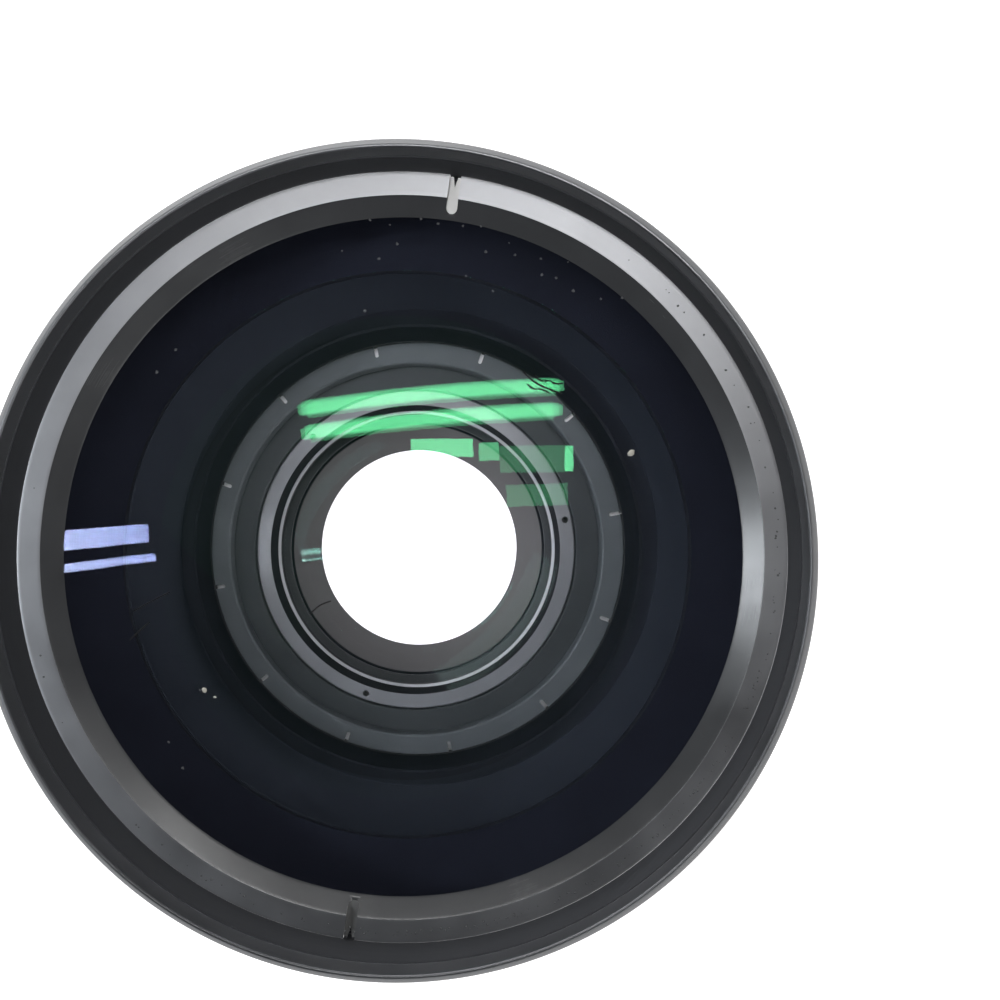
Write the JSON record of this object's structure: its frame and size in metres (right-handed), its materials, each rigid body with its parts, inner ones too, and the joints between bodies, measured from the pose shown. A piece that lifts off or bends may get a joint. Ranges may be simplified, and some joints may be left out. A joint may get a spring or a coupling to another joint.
{
  "type": "wide angle converter lens",
  "caption": "Screw-on wide angle converter lens: large domed front element in a deep round bezel, tapered barrel with ribbed grip, cemented rear lens group and male filter thread.",
  "frame": {"origin": "on the optical axis, at the rear end of the mount thread, which the lens stands on", "axes": "+Z along the optical axis towards the front element; +X and +Y are right and up in the picture"},
  "size_m": [0.1, 0.1, 0.054],
  "materials": {
    "black_anodised": "satin black anodised, fine turning marks",
    "satin_ring": "smooth black anodised, glossier",
    "cell_black": "satin black anodised, faced",
    "baffle_paint": "matte black paint",
    "grip_rubber": "matte black rubber",
    "seal_rubber": "matte black rubber",
    "shim_plastic": "matte black film",
    "lens_glass": "polished and coated, ground and blacked rim",
    "screw_steel": "black oxide"
  },
  "bodies": {
    "root": {"front_bezel": "black_anodised", "main_barrel": "black_anodised", "rear_mount": "black_anodised", "front_retaining_ring": "satin_ring", "rear_retaining_ring": "satin_ring", "rear_lock_ring": "cell_black", "rear_cell": "cell_black", "inner_baffle": "baffle_paint", "grip_ring": "grip_rubber", "front_gasket": "seal_rubber", "rear_gasket": "seal_rubber", "front_shim": "shim_plastic", "front_element": "lens_glass", "rear_crown": "lens_glass", "rear_flint": "lens_glass", "mount_screw_1": "screw_steel", "mount_screw_2": "screw_steel", "mount_screw_3": "screw_steel", "mount_screw_4": "screw_steel", "bezel_grub_1": "screw_steel", "bezel_grub_2": "screw_steel", "bezel_grub_3": "screw_steel"}
  },
  "joints": []
}
